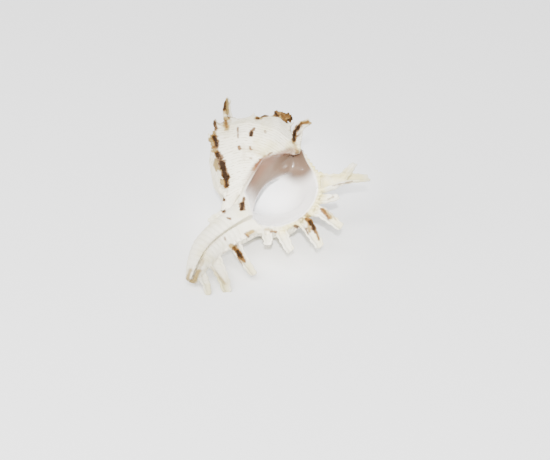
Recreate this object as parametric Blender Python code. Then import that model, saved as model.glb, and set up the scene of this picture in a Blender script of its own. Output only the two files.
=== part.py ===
"""Murex shell, about 100 mm long, lying on its back with the mouth up.

The shell is one piece of lime that an animal grew round an axis, so it is modelled in its growth frame first:
millimetres, Z up the axis to the apex, X to the right of someone who looks at the mouth, Y away from them.
Growth angles are in degrees, 0 at the lip and negative back towards the apex. The finished shell is then turned
on to its back and stands in metres, with the middle of its underside at the origin.
"""
import math

import bmesh
import bpy
import numpy as np
from mathutils import Matrix

MILLIMETRE = 0.001

# How finely the rings are set
RING_STEP = 2.0              # degrees of growth between rings
OUTLINE_POINTS = 130
FINE_POINTS = 240
HOLLOW_POINTS = 72
AXIS_RADIUS = 0.02           # how near to the axis a ring comes

# How the shell coils
WHORL_GROWTH = 1.85          # each turn is this much larger than the one before
TURNS = 4.6                  # turns that are modelled, from the lip to the apex
LIP_AZIMUTH = -27.0          # where the lip stands round the axis, from X towards Y

# The whorl's outline at the lip's size as (radius, height): the plain whorl, and where it flares into the lip
WHORL_OUTLINE = [(0.8, -24.0), (9.0, -24.6), (14.0, -25.6), (19.5, -27.6), (24.3, -31.0), (27.0, -36.0),
                 (27.6, -41.5), (26.0, -47.5), (22.2, -53.0), (16.8, -58.4), (12.0, -63.0), (9.0, -68.0),
                 (7.0, -73.5), (5.4, -79.0), (0.8, -82.5)]
LIP_OUTLINE = [(0.8, -18.0), (9.0, -16.4), (13.2, -15.6), (20.2, -22.4), (26.4, -28.8), (30.2, -35.6),
               (32.0, -42.2), (32.0, -49.2), (29.8, -56.8), (25.2, -62.4), (18.8, -65.4), (12.8, -68.6),
               (8.8, -75.0), (6.2, -80.0), (0.8, -83.5)]
LIP_REACH = [34, 34, 34, 34, 34, 40, 60, 90, 120, 130, 130, 130, 130, 130, 130]   # degrees over which each flares
LIP_FLARE_POWER = 2.0        # how late it flares: 1 is evenly

# The hollow's outline: inside the whorl, at the lip, and where it runs out on the front of the last whorl
HOLLOW_OUTLINE = [(14.5, -27.6), (19.0, -29.8), (22.6, -32.8), (24.4, -36.6), (24.4, -40.6), (21.8, -45.0),
                  (17.6, -48.8), (13.6, -52.4), (11.2, -55.2), (9.4, -56.2), (8.2, -54.4), (7.2, -50.4),
                  (7.0, -45.0), (7.8, -39.5), (9.8, -34.8), (12.0, -30.8)]
MOUTH_OUTLINE = [(13.8, -17.6), (19.4, -24.4), (25.0, -30.8), (28.6, -36.6), (30.2, -42.6), (30.2, -48.8),
                 (28.2, -55.2), (23.8, -60.4), (17.8, -62.6), (11.8, -61.8), (8.4, -58.0), (6.8, -52.0),
                 (6.4, -45.5), (7.4, -39.0), (9.6, -32.0), (11.8, -22.6)]
MOUTH_REACH = [26, 26, 26, 26, 34, 56, 84, 110, 110, 100, 60, 40, 26, 26, 26, 26]
FRONT_OUTLINE = [(14.0, -33.5), (20.0, -33.5), (27.0, -36.5), (31.5, -41.0), (33.5, -45.5), (33.5, -50.5),
                 (31.0, -56.0), (26.0, -60.5), (19.0, -62.0), (13.0, -60.0), (9.5, -56.0), (6.8, -51.0),
                 (6.4, -47.0), (6.4, -42.5), (7.2, -38.6), (9.4, -35.6)]
MOUTH_FLARE_POWER = 2.2
MOUTH_FRONT = 52.0           # degrees past the lip at which the mouth has run out
RUN_OUT = 0.6                # how early it does so: 1 is evenly
HOLLOW_END = -270.0          # how far back the hollow is modelled
HOLLOW_TAPER = 60.0          # degrees over which it narrows there
HOLLOW_TIP = 0.2             # share of its width that is left at its far end

# The thick old lips, three a turn, and the lumps between them
VARICES = [0.0, -113.0, -222.0, -342.0]
OLD_VARIX_STEP = 116.0
OLDEST_VARIX = 12
VARIX_HEIGHT = 3.7
VARIX_RISE = 26.0            # degrees of slope behind a varix's crest
VARIX_FALL = 6.0             # degrees of slope in front of it
LUMPS = [(-72.0, 4.2), (-38.0, 1.2), (-150.0, 1.1), (-186.0, 0.6), (-262.0, 1.7), (-300.0, 1.5)]
OLD_LUMP_SHARES = [(0.36, 1.9), (0.68, 1.6)]
LUMP_DEGREES = 8.5

# Where relief stands on the outline, as runs along it from the axis at the suture
VARIX_STARTS = (11.0, 25.0)
VARIX_LOWERS = (60.0, 82.0)
VARIX_LOWERED = 0.45         # share of its height that a varix loses there
VARIX_ENDS = (84.0, 88.0)
LUMP_ROWS = [(29.0, 6.5, 1.0), (43.0, 6.0, 0.7), (54.0, 6.0, 0.5)]    # run, width and share of the height
LEFT_SWELL = (-222.0, 46.0, 10.0, 3.6)        # angle, run, width and height of the left varix's thick middle
BACK_DIP = (-172.0, 36.0, 54.0, 11.0, 3.2)    # angle, degrees, run, width and depth of the flat beside it

# Spiral ribs: the run of each strong one
RIBS = [26.5, 35.0, 43.0, 51.0, 58.5, 65.5, 72.0, 78.5]
RIB_HEIGHT = 0.55
RIB_WIDTH = 1.5

# The spines of the lip as (right, towards the viewer of the mouth, height) along each, with its widths
LIP_SPINES = [
    ([(24.9, 11.6, -34.4), (29.3, 13.7, -32.6), (33.2, 15.0, -29.1), (37.7, 15.8, -26.0), (43.2, 15.8, -22.3)],
     [11.0, 8.6, 6.0, 4.6, 3.0]),
    ([(33.4, 15.0, -28.4), (34.2, 15.2, -23.2), (35.2, 15.0, -18.3)], [4.6, 3.8, 2.4]),
    ([(26.0, 12.4, -43.4), (31.5, 14.0, -40.9), (35.6, 15.0, -37.7)], [6.5, 4.4, 2.6]),
    ([(26.0, 12.3, -49.2), (31.5, 14.5, -49.2), (36.9, 16.0, -51.4), (42.2, 16.5, -53.0)], [7.5, 5.0, 4.2, 3.4]),
    ([(23.6, 11.0, -55.0), (28.3, 13.2, -56.7), (33.7, 15.0, -62.3), (37.7, 15.6, -65.8)], [8.0, 5.6, 4.4, 3.4]),
    ([(18.6, 9.0, -59.0), (21.4, 10.4, -64.0), (25.0, 12.0, -69.1), (28.2, 12.6, -72.5)], [7.0, 4.8, 4.0, 3.2]),
    ([(14.6, 7.2, -62.0), (17.0, 8.4, -67.1), (19.0, 9.0, -71.5)], [5.6, 4.2, 3.0]),
]

# The canal at the foot, its slot and its spines, as (right, towards the viewer of the mouth, height)
CANAL_PATH = [(7.0, 2.0, -60.0), (4.2, 1.2, -66.0), (0.6, 0.8, -74.0), (-1.6, 0.4, -82.0), (-1.8, -0.4, -90.0),
              (-1.0, -1.6, -97.6)]
CANAL_HALF_WIDTHS = [8.0, 7.6, 6.6, 5.8, 4.4, 2.0]
CANAL_HALF_DEPTHS = [6.0, 5.6, 4.8, 4.2, 3.4, 1.6]
SLOT_PATH = [(12.0, 8.5, -59.5), (8.0, 7.6, -62.5), (4.5, 6.6, -68.0), (1.2, 6.0, -75.0), (-1.2, 5.0, -83.0),
             (-1.6, 3.4, -91.0), (-0.8, 0.6, -99.5)]
SLOT_HALF_WIDTHS = [2.6, 1.4, 1.1, 1.1]
SLOT_HALF_DEPTH = 4.2
CANAL_SPINES = [
    ([(5.0, 1.4, -70.5), (8.2, 1.8, -74.5), (14.0, 3.0, -80.0), (19.6, 3.2, -84.0)], [7.5, 4.8, 4.0, 3.0]),
    ([(0.0, 0.4, -81.0), (4.4, 0.6, -85.8), (9.6, 1.4, -91.4), (13.6, 0.9, -96.3)], [7.5, 6.0, 4.6, 3.2]),
    ([(-1.0, -1.0, -90.5), (2.2, -0.6, -93.8), (5.2, 0.0, -97.6), (7.4, 0.0, -101.0)], [5.0, 3.6, 3.0, 2.2]),
    ([(0.0, 3.0, -62.0), (-3.6, 3.0, -66.4), (-6.0, 2.0, -69.6)], [6.0, 4.0, 2.4]),
]

# The glaze that thickens the pillar beside the mouth, and the raised edge of the inner lip, in the same way
PILLAR_GLAZE = [(6.4, 6.0, -33.0), (3.9, 3.8, -39.0), (3.2, 2.9, -47.0), (4.4, 3.0, -54.0), (7.4, 3.0, -61.0)]
GLAZE_HALF_WIDTHS = [3.0, 3.6, 3.7, 4.4, 5.5]
GLAZE_HALF_DEPTHS = [2.2, 2.9, 3.1, 3.5, 4.4]
INNER_LIP = [(11.9, 6.8, -19.6), (9.8, 10.9, -26.2), (7.7, 11.0, -29.8), (5.0, 9.8, -32.6), (2.3, 8.5, -35.5),
             (1.6, 6.9, -39.2), (0.8, 5.8, -46.6), (1.4, 5.4, -51.5), (3.1, 5.6, -56.3), (7.1, 6.4, -63.0)]
INNER_LIP_HALF_WIDTH = 0.9
INNER_LIP_HALF_DEPTH = 1.9

# The two long shoulder spines of older varices, in the same way
SHOULDER_SPINES = [
    ([(-15.4, 4.6, -21.0), (-18.9, 5.3, -19.6), (-21.4, 5.9, -15.4), (-22.8, 6.1, -10.3)], [6.4, 4.6, 3.4, 2.0]),
    ([(9.4, 9.4, -19.4), (8.9, 10.4, -15.0), (8.7, 10.8, -10.6), (11.4, 11.0, -5.8)], [5.0, 4.2, 3.4, 2.2]),
]

# Spine lengths on the older varices, from the shoulder down, at the lip's size. The rest have one at the shoulder.
VARIX_SPINES = {
    1: [5.0, 7.1, 4.6, 4.6, 4.4, 4.6, 4.0, 3.0],
    2: [0.0, 3.0, 2.6, 2.4, 2.2, 2.6, 4.0, 4.0],
    3: [],
}
OLD_SPINES = [6.0]
LAST_SPINY_VARIX = 8
SHOULDER_LEAN = 42.0         # degrees that a shoulder spine leans to the apex
SPINE_ROOT = 1.6             # how deep a spine is rooted in its varix
SPINE_SETBACK = 1.0          # degrees that it stands behind its varix's crest
SPINE_WIDTHS = (4.8, 3.6, 2.2)
SPINE_LAGS = (0.0, 1.0, 5.0)     # degrees that it bends back along its length
SPINE_DEPTH_SHARE = 0.36     # half a spine's depth against its width

# The way that each kind of piece faces, as (X, Y, Z)
TO_VIEWER = (0.0, -1.0, 0.0)
CANAL_SPINE_FACE = (-0.3, -1.0, 0.2)
GLAZE_FACE = (0.7, -0.7, 0.0)
INNER_LIP_FACE = (0.2, -1.0, 0.0)

# How finely the pieces are fused, and how many triangles the shell keeps
VOXEL = 0.75
TRIANGLES = 9400

# How it lies: the growth azimuth that faces down, and how far the canal's end points down
DOWN_AZIMUTH = 63.7
CANAL_DROP = 19.6
APEX = (-12.8, 48.0, 37.5)   # where the growth frame's origin, the apex, stands in the finished frame
GROUND = 400.0               # side of the block that flattens the worn points that it lies on

# The finish
LIME_COLOUR = (0.83, 0.77, 0.69, 1.0)
LIME_ROUGHNESS = 0.6
SHARP_ANGLE = 50.0


def grown(t):
    """Size of the shell at growth angle t, against its size at the lip."""
    return WHORL_GROWTH ** (np.asarray(t, float) / 360.0)


def at(t, radius, height):
    """The point at this growth angle, radius and height."""
    a = np.radians(LIP_AZIMUTH - np.asarray(t, float))
    return np.stack([radius * np.cos(a), radius * np.sin(a), height + 0 * a], -1)


def front_point(right, towards, height):
    """The point at these distances to the right and towards the viewer of the mouth."""
    return (right, -towards, height)


def eased(low, high, x):
    """Rises smoothly from 0 at low to 1 at high."""
    share = np.clip((np.asarray(x, float) - low) / (high - low), 0, 1)
    return share * share * (3 - 2 * share)


def hump(x, centre, width):
    """A round hump of height 1."""
    return np.exp(-(((np.asarray(x, float) - centre) / width) ** 2))


def curve_through(points, count, closed=False):
    """A smooth curve through the points, read at the same shares of each stretch."""
    p = np.asarray(points, float)
    if closed:
        p = np.vstack([p[-1], p, p[0], p[1]])
    else:
        p = np.vstack([2 * p[0] - p[1], p, 2 * p[-1] - p[-2]])
    stretches = len(p) - 3
    where = np.linspace(0, stretches, count, endpoint=not closed)
    first = np.minimum(where.astype(int), stretches - 1)
    u = (where - first)[:, None]
    a, b, c, d = p[first], p[first + 1], p[first + 2], p[first + 3]
    return 0.5 * (2 * b + (c - a) * u + (2 * a - 5 * b + 4 * c - d) * u * u + (3 * b - a - 3 * c + d) * u ** 3)


def run_along(line):
    """How far along the line each of its points is."""
    return np.r_[0, np.cumsum(np.linalg.norm(np.diff(line, axis=0), axis=1))]


def outward(line):
    """Directions away from the axis, square to the line."""
    step = np.gradient(line, axis=0)
    normal = np.stack([-step[:, 1], step[:, 0]], 1)
    return normal / np.linalg.norm(normal, axis=1)[:, None]


def varix_angles():
    """Growth angles of all varices, from the lip back."""
    older = [VARICES[-1] - OLD_VARIX_STEP * k for k in range(1, OLDEST_VARIX - len(VARICES) + 2)]
    return VARICES + older


def varix_rise(t, crest):
    """Share of a varix's full height at growth angle t, for the varix whose crest is at the second angle."""
    past = np.asarray(t, float) - crest
    behind = np.clip((past + VARIX_RISE) / VARIX_RISE, 0, 1) ** 2 * (past <= 0)
    before = (1 - eased(0, VARIX_FALL, past)) * (past > 0)
    return behind + before


def lumps():
    """Growth angle and height of each lump between the varices."""
    angles = varix_angles()
    older = []
    for newer, old in zip(angles[3:-1], angles[4:]):
        older += [(newer + (old - newer) * share, height) for share, height in OLD_LUMP_SHARES]
    return LUMPS + older


def relief(t, run):
    """How far the surface stands out from the plain outline, at the lip's size."""
    t, run = np.broadcast_arrays(np.asarray(t, float), np.asarray(run, float))
    span = eased(*VARIX_STARTS, run) * (1 - eased(*VARIX_ENDS, run))
    span = span * (1 - VARIX_LOWERED * eased(*VARIX_LOWERS, run))
    rise = sum(varix_rise(t, crest) for crest in varix_angles()[1:])
    out = VARIX_HEIGHT * span * rise
    angle, where, width, height = LEFT_SWELL
    out = out + height * varix_rise(t, angle) * hump(run, where, width)
    angle, degrees, where, width, depth = BACK_DIP
    out = out - depth * hump(t, angle, degrees) * hump(run, where, width)
    down = sum(share * hump(run, where, width) for where, width, share in LUMP_ROWS)
    for angle, height in lumps():
        out = out + height * hump(t, angle, LUMP_DEGREES) * down
    ribs = sum(hump(run, where, RIB_WIDTH) for where in RIBS)
    return out + RIB_HEIGHT * ribs * (1 + rise)


def flared(t, reach, count, power):
    """Share of the way to the lip's outline, for each point of an outline."""
    degrees = np.interp(np.linspace(0, 1, count), np.linspace(0, 1, len(reach)), reach)
    return (np.clip((t + degrees) / degrees, 0, 1) ** power)[:, None]


def whorl_lines(t, count):
    """Outline points, run and outward directions at growth angle t, at the lip's size."""
    plain = curve_through(WHORL_OUTLINE, count)
    lip = curve_through(LIP_OUTLINE, count)
    line = plain + (lip - plain) * flared(t, LIP_REACH, count, LIP_FLARE_POWER)
    return line, run_along(plain), outward(line)


def loft(name, rings):
    """A closed tube through rings of points, capped at both ends."""
    rings = np.asarray(rings, float)
    count, around = rings.shape[:2]
    row = np.arange(count - 1)[:, None] * around
    here = np.arange(around)[None, :]
    beside = (here + 1) % around
    faces = np.stack([row + here, row + beside, row + beside + around, row + here + around], -1).reshape(-1, 4)
    ends = [list(range(around))[::-1], list(range((count - 1) * around, count * around))]
    mesh = bpy.data.meshes.new(name)
    mesh.from_pydata(rings.reshape(-1, 3).tolist(), [], faces.tolist() + ends)
    shape = bmesh.new()
    shape.from_mesh(mesh)
    bmesh.ops.recalc_face_normals(shape, faces=shape.faces)
    if shape.calc_volume(signed=True) < 0:
        bmesh.ops.reverse_faces(shape, faces=shape.faces)
    shape.to_mesh(mesh)
    shape.free()
    piece = bpy.data.objects.new(name, mesh)
    bpy.context.scene.collection.objects.link(piece)
    return piece


def whorls():
    """The coiled wall, still solid, with its varices, lumps and ribs."""
    rings = []
    for t in np.arange(-360 * TURNS, RING_STEP / 2, RING_STEP):
        line, run, normal = whorl_lines(t, OUTLINE_POINTS)
        line = (line + relief(t, run)[:, None] * normal) * grown(t)
        rings.append(at(t, np.maximum(line[:, 0], AXIS_RADIUS), line[:, 1]))
    return loft("whorls", rings)


def hollow():
    """The space inside the last whorl, its wide mouth and the scoop on the front of the whorl before."""
    inside = curve_through(HOLLOW_OUTLINE, HOLLOW_POINTS, closed=True)
    mouth = curve_through(MOUTH_OUTLINE, HOLLOW_POINTS, closed=True)
    front = curve_through(FRONT_OUTLINE, HOLLOW_POINTS, closed=True)
    middle = inside.mean(axis=0)
    rings = []
    for t in np.arange(HOLLOW_END, MOUTH_FRONT + RING_STEP / 2, RING_STEP):
        if t < 0:
            line = inside + (mouth - inside) * flared(t, MOUTH_REACH, HOLLOW_POINTS, MOUTH_FLARE_POWER)
        else:
            line = mouth + (front - mouth) * (t / MOUTH_FRONT) ** RUN_OUT
        if t < HOLLOW_END + HOLLOW_TAPER:
            share = HOLLOW_TIP + (1 - HOLLOW_TIP) * float(eased(HOLLOW_END, HOLLOW_END + HOLLOW_TAPER, t))
            line = middle + (line - middle) * share
        line = line * grown(min(t, 0))
        rings.append(at(t, line[:, 0], line[:, 1]))
    return loft("hollow", rings)


def path_frames(path, face):
    """Directions across a path: the one that faces the given way, and the one beside it."""
    along = np.gradient(path, axis=0)
    along /= np.linalg.norm(along, axis=1)[:, None]
    facing = face - (along @ np.asarray(face, float))[:, None] * along
    facing /= np.linalg.norm(facing, axis=1)[:, None]
    return facing, np.cross(along, facing)


def bar(name, points, half_widths, half_depths, face, count=18, around=16):
    """A solid bar with an oval section along a smooth path."""
    path = curve_through(points, count)
    share = np.linspace(0, 1, count)
    wide = np.interp(share, np.linspace(0, 1, len(half_widths)), half_widths)
    deep = np.interp(share, np.linspace(0, 1, len(half_depths)), half_depths)
    facing, beside = path_frames(path, face)
    turn = np.linspace(0, 2 * np.pi, around, endpoint=False)
    rings = [path[i] + (np.sin(turn) * wide[i])[:, None] * beside[i] + (np.cos(turn) * deep[i])[:, None] * facing[i]
             for i in range(count)]
    return loft(name, rings)


def spine(name, points, widths, face):
    """A flattened spine."""
    half_widths = [w / 2 for w in widths]
    return bar(name, points, half_widths, [w * SPINE_DEPTH_SHARE for w in widths], face)


def growth_way(t):
    """The direction in which the shell grows at angle t."""
    a = math.radians(LIP_AZIMUTH - t)
    return np.array([math.sin(a), -math.cos(a), 0.0])


def varix_spines(index):
    """The short spines on one older varix, one on each rib."""
    t = varix_angles()[index] - SPINE_SETBACK
    size = float(grown(t))
    line, run, normal = whorl_lines(t, FINE_POINTS)
    pieces = []
    for k, length in enumerate(VARIX_SPINES.get(index, OLD_SPINES)):
        if not length:
            continue
        where = RIBS[k]
        foot = np.array([np.interp(where, run, line[:, i]) for i in (0, 1)])
        out = np.array([np.interp(where, run, normal[:, i]) for i in (0, 1)])
        foot = foot + (float(relief(t, where)) - SPINE_ROOT) * out
        lean = math.radians(0.0 if k else SHOULDER_LEAN)
        way = np.array([out[0] * math.cos(lean) - out[1] * math.sin(lean),
                        out[1] * math.cos(lean) + out[0] * math.sin(lean)])
        tip = foot + way * (length + SPINE_ROOT)
        stations = (foot, (foot + tip) / 2, tip)
        points = [at(t - lag, *(station * size)) for lag, station in zip(SPINE_LAGS, stations)]
        widths = [width * size for width in SPINE_WIDTHS]
        pieces.append(spine(f"varix_{index}_spine_{k}", points, widths, growth_way(t)))
    return pieces


def spines():
    """All spines: those of the lip, the canal, the two long ones of older varices and the short ones."""
    pieces = []
    for k, (points, widths) in enumerate(LIP_SPINES):
        pieces.append(spine(f"lip_spine_{k}", [front_point(*p) for p in points], widths, growth_way(0)))
    for k, (points, widths) in enumerate(CANAL_SPINES):
        pieces.append(spine(f"canal_spine_{k}", [front_point(*p) for p in points], widths, CANAL_SPINE_FACE))
    for k, (points, widths) in enumerate(SHOULDER_SPINES):
        pieces.append(spine(f"shoulder_spine_{k}", [front_point(*p) for p in points], widths, TO_VIEWER))
    for index in range(1, LAST_SPINY_VARIX + 1):
        pieces += varix_spines(index)
    return pieces


def canal():
    points = [front_point(*p) for p in CANAL_PATH]
    return bar("canal", points, CANAL_HALF_WIDTHS, CANAL_HALF_DEPTHS, TO_VIEWER, count=26, around=32)


def canal_slot():
    """The narrow slot that runs along the canal from the mouth to its end."""
    points = [front_point(*p) for p in SLOT_PATH]
    return bar("slot", points, SLOT_HALF_WIDTHS, [SLOT_HALF_DEPTH] * 2, TO_VIEWER, count=30, around=14)


def pillar_glaze():
    points = [front_point(*p) for p in PILLAR_GLAZE]
    return bar("glaze", points, GLAZE_HALF_WIDTHS, GLAZE_HALF_DEPTHS, GLAZE_FACE, count=26, around=24)


def inner_lip():
    points = [front_point(*p) for p in INNER_LIP]
    half_widths = [INNER_LIP_HALF_WIDTH] * 2
    half_depths = [INNER_LIP_HALF_DEPTH] * 2
    return bar("inner_lip", points, half_widths, half_depths, INNER_LIP_FACE, count=40)


def apply_modifiers(piece):
    """Turns the piece's evaluated shape into its own mesh."""
    evaluated = piece.evaluated_get(bpy.context.evaluated_depsgraph_get())
    shaped = bpy.data.meshes.new_from_object(evaluated)
    piece.modifiers.clear()
    piece.data = shaped


def voxel_fuse(piece):
    fuse = piece.modifiers.new("Fuse", "REMESH")
    fuse.mode = "VOXEL"
    fuse.voxel_size = VOXEL
    apply_modifiers(piece)


def cut_away(piece, cutter):
    cutter.hide_render = True
    cutter.display_type = "WIRE"
    cut = piece.modifiers.new("Cut", "BOOLEAN")
    cut.operation = "DIFFERENCE"
    cut.solver = "EXACT"
    cut.object = cutter
    apply_modifiers(piece)
    bpy.data.objects.remove(cutter)


def fused(pieces, name):
    """One object from several that overlap."""
    shape = bmesh.new()
    for piece in pieces:
        shape.from_mesh(piece.data)
        bpy.data.objects.remove(piece)
    mesh = bpy.data.meshes.new(name)
    shape.to_mesh(mesh)
    shape.free()
    joined = bpy.data.objects.new(name, mesh)
    bpy.context.scene.collection.objects.link(joined)
    voxel_fuse(joined)
    return joined


def thin_out(piece):
    """Keeps only as many triangles as the shape needs."""
    thin = piece.modifiers.new("Thin", "DECIMATE")
    triangles = sum(len(face.vertices) - 2 for face in piece.data.polygons)
    thin.ratio = TRIANGLES / triangles
    apply_modifiers(piece)


def lay_down(piece):
    """Turns the shell on to its back, sets it on the ground and flattens the worn points that it lies on."""
    down_to_x = Matrix.Rotation(math.radians(-DOWN_AZIMUTH), 4, "Z")
    on_back = Matrix(((0, -1, 0, 0), (0, 0, 1, 0), (-1, 0, 0, 0), (0, 0, 0, 1)))
    drop = Matrix.Rotation(math.radians(CANAL_DROP), 4, "X")
    piece.data.transform(Matrix.Translation(APEX) @ drop @ on_back @ down_to_x)
    bpy.ops.mesh.primitive_cube_add(size=GROUND)
    ground = bpy.context.object
    ground.location = (0, 0, -GROUND / 2)
    bpy.context.view_layer.update()
    cut_away(piece, ground)
    piece.data.transform(Matrix.Scale(MILLIMETRE, 4))


def chalky_white():
    material = bpy.data.materials.new("shell_lime")
    material.use_nodes = True
    surface = material.node_tree.nodes["Principled BSDF"]
    surface.inputs["Base Color"].default_value = LIME_COLOUR
    surface.inputs["Roughness"].default_value = LIME_ROUGHNESS
    surface.inputs["Metallic"].default_value = 0.0
    return material


def build_shell():
    shell = fused([whorls(), canal(), pillar_glaze(), inner_lip()] + spines(), "shell")
    cut_away(shell, hollow())
    cut_away(shell, canal_slot())
    voxel_fuse(shell)
    thin_out(shell)
    lay_down(shell)
    shell.data.shade_smooth()
    shell.data.set_sharp_from_angle(angle=math.radians(SHARP_ANGLE))
    shell.data.materials.clear()
    shell.data.materials.append(chalky_white())
    return shell


for leftover in list(bpy.data.objects):
    bpy.data.objects.remove(leftover)

build_shell()
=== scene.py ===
"""Murex shell, about 100 mm long, lying on its back with the mouth up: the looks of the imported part.

The shell is one piece of lime. Its parts are laid in the growth frame, in millimetres: Z up the axis to the
apex, X to the right of someone who looks at the mouth, Y away from them. Growth angles are in degrees, 0 at
the lip and negative back towards the apex. The finished piece is then turned on to its back and stands in
metres.
"""
import math

import bpy
import numpy as np
from mathutils import Matrix, Vector, noise
from mathutils.bvhtree import BVHTree


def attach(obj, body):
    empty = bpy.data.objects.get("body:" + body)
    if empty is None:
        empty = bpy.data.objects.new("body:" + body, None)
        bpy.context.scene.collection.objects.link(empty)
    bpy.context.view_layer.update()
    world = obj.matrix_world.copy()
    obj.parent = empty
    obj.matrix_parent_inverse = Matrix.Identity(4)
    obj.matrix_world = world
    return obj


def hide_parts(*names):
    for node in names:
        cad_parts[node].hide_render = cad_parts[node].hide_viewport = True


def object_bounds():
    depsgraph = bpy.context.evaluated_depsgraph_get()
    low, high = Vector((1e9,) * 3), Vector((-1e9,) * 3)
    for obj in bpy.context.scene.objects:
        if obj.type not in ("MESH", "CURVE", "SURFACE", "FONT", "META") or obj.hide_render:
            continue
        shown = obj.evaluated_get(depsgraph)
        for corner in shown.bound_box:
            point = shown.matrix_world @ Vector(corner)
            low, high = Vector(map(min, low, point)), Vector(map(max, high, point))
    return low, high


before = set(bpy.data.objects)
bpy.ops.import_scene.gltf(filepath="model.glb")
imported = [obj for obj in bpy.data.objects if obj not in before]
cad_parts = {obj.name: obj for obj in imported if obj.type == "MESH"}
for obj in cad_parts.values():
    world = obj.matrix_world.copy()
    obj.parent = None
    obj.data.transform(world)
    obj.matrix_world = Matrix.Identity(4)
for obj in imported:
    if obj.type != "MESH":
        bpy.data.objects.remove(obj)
cad_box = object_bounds()


# The whorls
# One tube of lime that the animal grew round an axis, each turn wrapping the one before. At three places a
# turn growth paused and left a thick old lip, a varix, with lumps between them and ribs that run round the
# spiral.
WHORL_GROWTH = 1.85          # each turn is this much larger than the one before
TURNS = 3.7                  # turns that are modelled, from the lip to the worn apex
LIP_AZIMUTH = -27.0          # where the lip stands round the axis, from X towards Y
RING_STEP = 1.5              # degrees of growth between rings
OUTLINE_POINTS = 190
AXIS_RADIUS = 0.02           # how near to the axis a ring comes
SEAM_GAP = 1e-5              # points this near are sewn together

# The outline at the lip's size as (radius, height): the plain whorl, and where it flares into the lip
WHORL_OUTLINE = [(0.8, -24.0), (9.0, -24.6), (14.0, -25.6), (19.5, -27.6), (24.3, -31.0), (27.0, -36.0),
                 (27.6, -41.5), (26.0, -47.5), (22.2, -53.0), (16.8, -58.4), (12.0, -63.0), (9.0, -68.0),
                 (7.0, -73.5), (5.4, -79.0), (0.8, -82.5)]
LIP_OUTLINE = [(0.8, -18.0), (9.0, -16.4), (13.2, -15.6), (20.2, -22.4), (26.4, -28.8), (30.2, -35.6),
               (32.0, -42.2), (32.0, -49.2), (29.8, -56.8), (25.2, -62.4), (18.8, -65.4), (12.8, -68.6),
               (8.8, -75.0), (6.2, -80.0), (0.8, -83.5)]
LIP_REACH = [34] * 5 + [40, 60, 90, 120] + [130] * 6   # degrees over which each point flares
FLARE_POWER = 2.0

# The varices and lumps: growth angles in degrees, and heights and places along the outline at the lip's size
VARICES = [0.0, -113.0, -222.0, -342.0]
OLD_VARIX_STEP = 116.0
OLDEST_VARIX = 12
VARIX_HEIGHT = 3.7
VARIX_RISE = 26.0            # degrees of slope behind a varix's crest
VARIX_FALL = 6.0             # degrees of slope in front of it
VARIX_STARTS = (11.0, 25.0)  # mm along the outline over which it rises
VARIX_LOWERS = (60.0, 82.0)  # over which it gets lower
VARIX_LOWERED = 0.45         # by this share
VARIX_ENDS = (84.0, 88.0)    # over which it ends
LUMPS = [(-72.0, 4.2), (-38.0, 1.2), (-150.0, 1.1), (-186.0, 0.6), (-262.0, 1.7), (-300.0, 1.5)]
OLD_LUMP_SHARES = [(0.36, 1.9), (0.68, 1.6)]   # share of the way between two older varices, height
LUMP_DEGREES = 8.5
LUMP_ROWS = [(29.0, 6.5, 1.0), (43.0, 6.0, 0.7), (54.0, 6.0, 0.5)]   # place and width along the outline
LEFT_SWELL = (-222.0, 46.0, 10.0, 3.6)         # varix, place and width along the outline, height
BACK_DIP = (-172.0, 36.0, 54.0, 11.0, 3.2)     # growth angle, its width, place and width along, depth

# The ribs, and how deep the folds are that they make on a varix
RIBS = [26.5, 35.0, 43.0, 51.0, 58.5, 65.5, 72.0, 78.5]
RIB_HEIGHT = 0.6
RIB_WIDTH = 1.3
FOLD_HEIGHT = 0.9
FOLD_BETWEEN = 0.4           # share of a fold's height that lies below the varix's crest


def grown(t):
    """Size of the shell at growth angle t, against its size at the lip."""
    return WHORL_GROWTH ** (np.asarray(t, float) / 360.0)


def at(t, radius, height):
    """The point at this growth angle, radius and height."""
    a = np.radians(LIP_AZIMUTH - np.asarray(t, float))
    return np.stack([radius * np.cos(a), radius * np.sin(a), height + 0 * a], -1)


def eased(low, high, x):
    """Rises smoothly from 0 at low to 1 at high."""
    share = np.clip((np.asarray(x, float) - low) / (high - low), 0, 1)
    return share * share * (3 - 2 * share)


def hump(x, centre, width):
    """A round hump of height 1."""
    return np.exp(-(((np.asarray(x, float) - centre) / width) ** 2))


def curve_through(points, count, closed=False):
    """A smooth curve through the points, read at the same shares of each stretch."""
    p = np.asarray(points, float)
    if closed:
        p = np.vstack([p[-1], p, p[0], p[1]])
    else:
        p = np.vstack([2 * p[0] - p[1], p, 2 * p[-1] - p[-2]])
    stretches = len(p) - 3
    where = np.linspace(0, stretches, count, endpoint=not closed)
    first = np.minimum(where.astype(int), stretches - 1)
    u = (where - first)[:, None]
    a, b, c, d = p[first], p[first + 1], p[first + 2], p[first + 3]
    square = (2 * a - 5 * b + 4 * c - d) * u * u
    cube = (3 * b - a - 3 * c + d) * u ** 3
    return 0.5 * (2 * b + (c - a) * u + square + cube)


def run_along(line):
    """How far along the line each of its points is."""
    return np.r_[0, np.cumsum(np.linalg.norm(np.diff(line, axis=0), axis=1))]


def outward(line):
    """Directions away from the axis, square to the line."""
    step = np.gradient(line, axis=0)
    normal = np.stack([-step[:, 1], step[:, 0]], 1)
    return normal / np.linalg.norm(normal, axis=1)[:, None]


def varix_angles():
    """Growth angles of all varices, from the lip back."""
    older = [VARICES[-1] - OLD_VARIX_STEP * k for k in range(1, OLDEST_VARIX - len(VARICES) + 2)]
    return VARICES + older


def varix_rise(t, crest):
    """Share of a varix's full height at growth angle t, for the varix whose crest is at the second angle."""
    past = np.asarray(t, float) - crest
    behind = np.clip((past + VARIX_RISE) / VARIX_RISE, 0, 1) ** 2 * (past <= 0)
    before = (1 - eased(0, VARIX_FALL, past)) * (past > 0)
    return behind + before


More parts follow.
